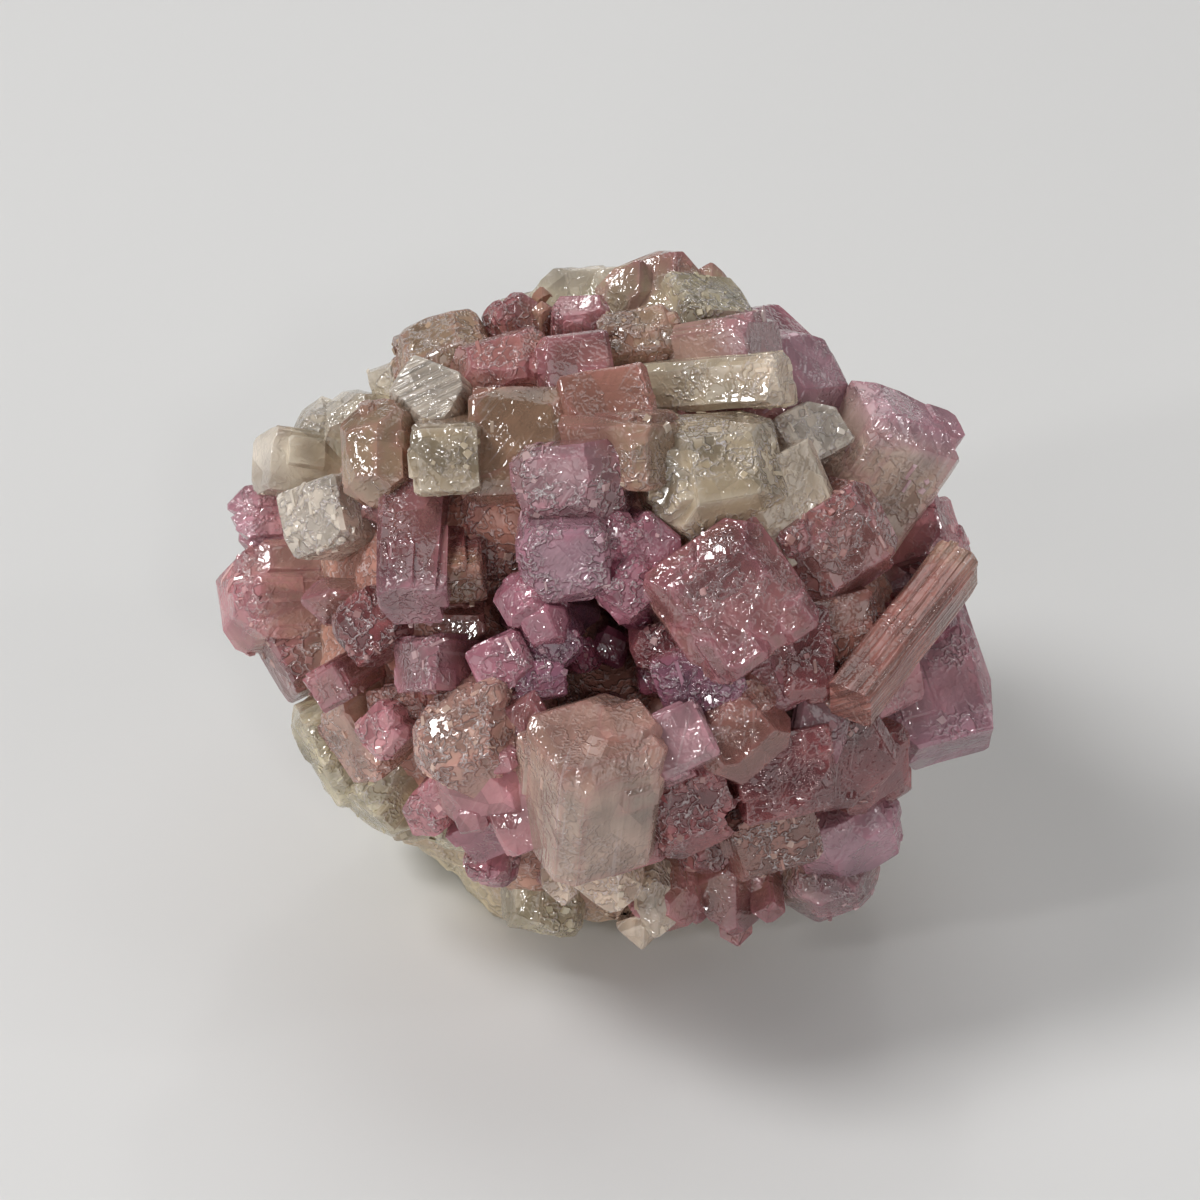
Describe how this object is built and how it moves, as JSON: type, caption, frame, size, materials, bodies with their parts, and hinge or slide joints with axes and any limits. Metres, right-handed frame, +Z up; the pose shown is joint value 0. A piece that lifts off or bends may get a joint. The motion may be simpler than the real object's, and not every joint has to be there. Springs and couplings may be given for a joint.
{
  "type": "vesuvianite crystal cluster",
  "caption": "Rounded thumbnail cluster of stubby square vesuvianite crystals grown outwards round a small hollow, resting on a flat broken foot.",
  "frame": {"origin": "middle of the flat broken foot that the cluster rests on", "axes": "+Z up, +X to the right and -Y towards the viewer as in the reference view"},
  "size_m": [0.0195, 0.019, 0.0167],
  "materials": {
    "vesuvianite": "clear to cloudy glassy crystal, from pale green through tan and brown-pink to lilac and purple, with frosted and chipped faces"
  },
  "bodies": {
    "root": {"crystal_cluster": "vesuvianite"}
  },
  "joints": []
}
